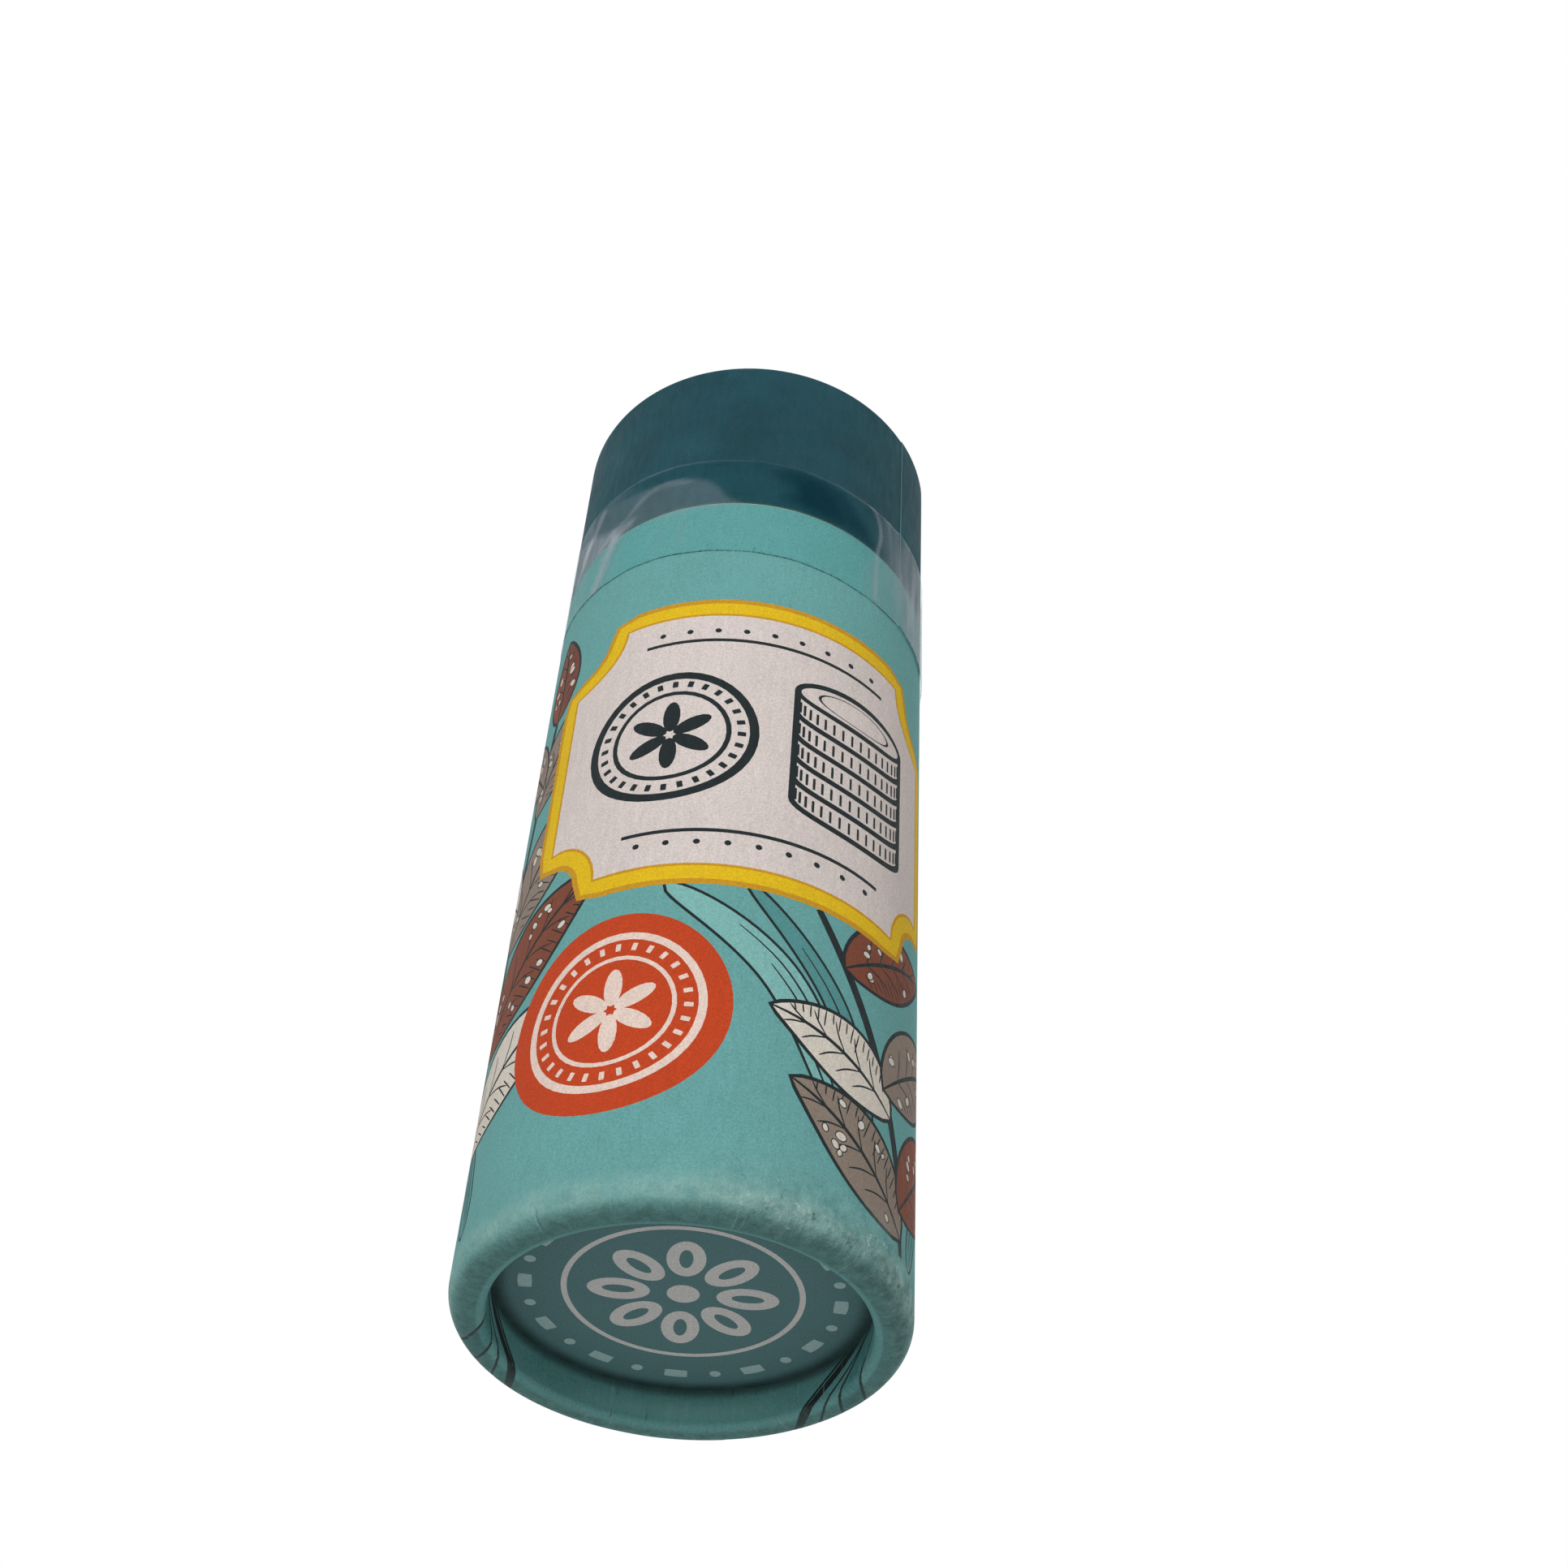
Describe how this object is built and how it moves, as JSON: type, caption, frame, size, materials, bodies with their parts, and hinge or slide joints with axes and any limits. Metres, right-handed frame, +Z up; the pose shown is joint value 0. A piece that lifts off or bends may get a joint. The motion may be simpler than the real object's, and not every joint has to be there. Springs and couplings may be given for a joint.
{
  "type": "coin tube",
  "caption": "Round paper tube with a lift-off cap and a tape seal, holding one stack of equal coins; stands on its rolled base rim.",
  "frame": {"origin": "centre of the base on the surface that the tube stands on", "axes": "+Z up along the tube's axis, towards the cap; -Y is the side that shows the printed panel"},
  "size_m": [0.0324, 0.0324, 0.0908],
  "materials": {
    "printed_wrap": "matte printed paper, light teal",
    "cap_wrap": "matte printed paper, dark teal",
    "base_print": "matte printed paper, dark grey teal",
    "raw_board": "raw grey-buff board",
    "neck_board": "white-lined board",
    "liner_paper": "uncoated white paper",
    "clear_tape": "clear glossy film",
    "coin_bronze": "struck gold-coloured bronze"
  },
  "bodies": {
    "tube": {"tube_board": "raw_board", "tube_wrap": "printed_wrap", "neck_tube": "neck_board", "base_disc": "raw_board", "base_print": "base_print", "base_liner": "liner_paper"},
    "cap": {"cap_board": "raw_board", "cap_wrap": "cap_wrap", "cap_disc": "raw_board", "cap_print": "cap_wrap", "cap_liner": "liner_paper"},
    "seal": {"seal_tape": "clear_tape"},
    "coins": {"coin_01": "coin_bronze", "coin_02": "coin_bronze", "coin_03": "coin_bronze", "coin_04": "coin_bronze", "coin_05": "coin_bronze", "coin_06": "coin_bronze", "coin_07": "coin_bronze", "coin_08": "coin_bronze", "coin_09": "coin_bronze", "coin_10": "coin_bronze", "coin_11": "coin_bronze", "coin_12": "coin_bronze", "coin_13": "coin_bronze", "coin_14": "coin_bronze", "coin_15": "coin_bronze", "coin_16": "coin_bronze", "coin_17": "coin_bronze", "coin_18": "coin_bronze", "coin_19": "coin_bronze", "coin_20": "coin_bronze", "coin_21": "coin_bronze", "coin_22": "coin_bronze", "coin_23": "coin_bronze", "coin_24": "coin_bronze", "coin_25": "coin_bronze", "coin_26": "coin_bronze"}
  },
  "joints": [
    {"name": "cap_lift", "type": "slide", "parent": "tube", "child": "cap", "axis": [0, 0, 1], "range_m": [0, 0.038]},
    {"name": "seal_slip_off", "type": "slide", "parent": "tube", "child": "seal", "axis": [0, 0, 1], "range_m": [0, 0.03]},
    {"name": "coin_stack_rattle", "type": "slide", "parent": "tube", "child": "coins", "axis": [0, 0, 1], "range_m": [0, 0.0027]}
  ]
}
